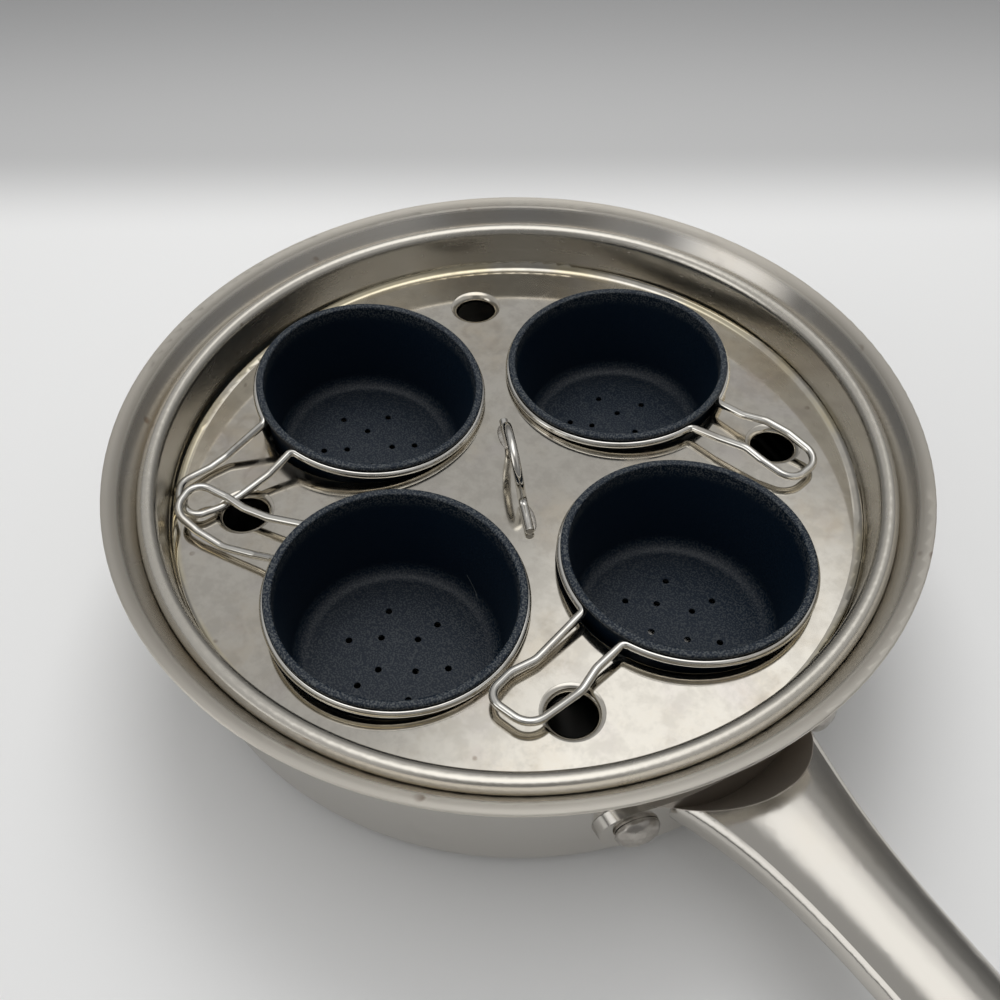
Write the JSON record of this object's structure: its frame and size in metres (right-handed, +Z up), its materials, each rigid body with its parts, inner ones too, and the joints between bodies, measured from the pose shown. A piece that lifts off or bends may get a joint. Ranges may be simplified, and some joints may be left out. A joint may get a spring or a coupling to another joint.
{
  "type": "egg poacher pan",
  "caption": "Flared steel pan with a drop-in steam plate, cups that hang in wire finger-loop carriers and a long riveted handle.",
  "frame": {"origin": "centre of the base's underside, on the surface the pan stands on", "axes": "+Z up, +X along the long handle away from the pan"},
  "size_m": [0.424, 0.25, 0.066],
  "materials": {
    "pan_steel": "brushed and lightly heat tinted",
    "base_aluminium": "plain, hidden between the floor and the cap",
    "base_steel": "ground flat",
    "handle_steel": "satin cast",
    "rivet_steel": "hammered round",
    "plate_steel": "bright with faint water stains",
    "wire_steel": "polished wire",
    "cup_coating": "dark non-stick coating, speckled on the lip and the floor"
  },
  "bodies": {
    "pan": {"pan_body": "pan_steel", "base_core": "base_aluminium", "base_cap": "base_steel", "handle": "handle_steel", "rivet_right": "rivet_steel", "rivet_left": "rivet_steel"},
    "insert": {"insert_plate": "plate_steel", "lift_handle": "wire_steel"},
    "carrier_right_front": {"wire_carrier_right_front": "wire_steel"},
    "cup_right_front": {"egg_cup_right_front": "cup_coating"},
    "carrier_right_back": {"wire_carrier_right_back": "wire_steel"},
    "cup_right_back": {"egg_cup_right_back": "cup_coating"},
    "carrier_left_back": {"wire_carrier_left_back": "wire_steel"},
    "cup_left_back": {"egg_cup_left_back": "cup_coating"},
    "carrier_left_front": {"wire_carrier_left_front": "wire_steel"},
    "cup_left_front": {"egg_cup_left_front": "cup_coating"}
  },
  "joints": [
    {"name": "insert_lift", "type": "slide", "parent": "pan", "child": "insert", "axis": [0, 0, 1], "range_m": [0, 0.06]},
    {"name": "carrier_lift_right_front", "type": "slide", "parent": "insert", "child": "carrier_right_front", "axis": [0, 0, 1], "range_m": [0, 0.045]},
    {"name": "cup_lift_right_front", "type": "slide", "parent": "carrier_right_front", "child": "cup_right_front", "axis": [-0.0213, 0.0407, 0.9989], "range_m": [0, 0.045]},
    {"name": "carrier_lift_right_back", "type": "slide", "parent": "insert", "child": "carrier_right_back", "axis": [0, 0, 1], "range_m": [0, 0.045]},
    {"name": "cup_lift_right_back", "type": "slide", "parent": "carrier_right_back", "child": "cup_right_back", "axis": [-0.0059, -0.0457, 0.9989], "range_m": [0, 0.045]},
    {"name": "carrier_lift_left_back", "type": "slide", "parent": "insert", "child": "carrier_left_back", "axis": [0, 0, 1], "range_m": [0, 0.045]},
    {"name": "cup_lift_left_back", "type": "slide", "parent": "carrier_left_back", "child": "cup_left_back", "axis": [0.1129, 0.0652, 0.9915], "range_m": [0, 0.045]},
    {"name": "carrier_lift_left_front", "type": "slide", "parent": "carrier_left_back", "child": "carrier_left_front", "axis": [0, 0, 1], "range_m": [0, 0.045]},
    {"name": "cup_lift_left_front", "type": "slide", "parent": "carrier_left_front", "child": "cup_left_front", "axis": [0.0476, 0.0466, 0.9978], "range_m": [0, 0.045]}
  ]
}
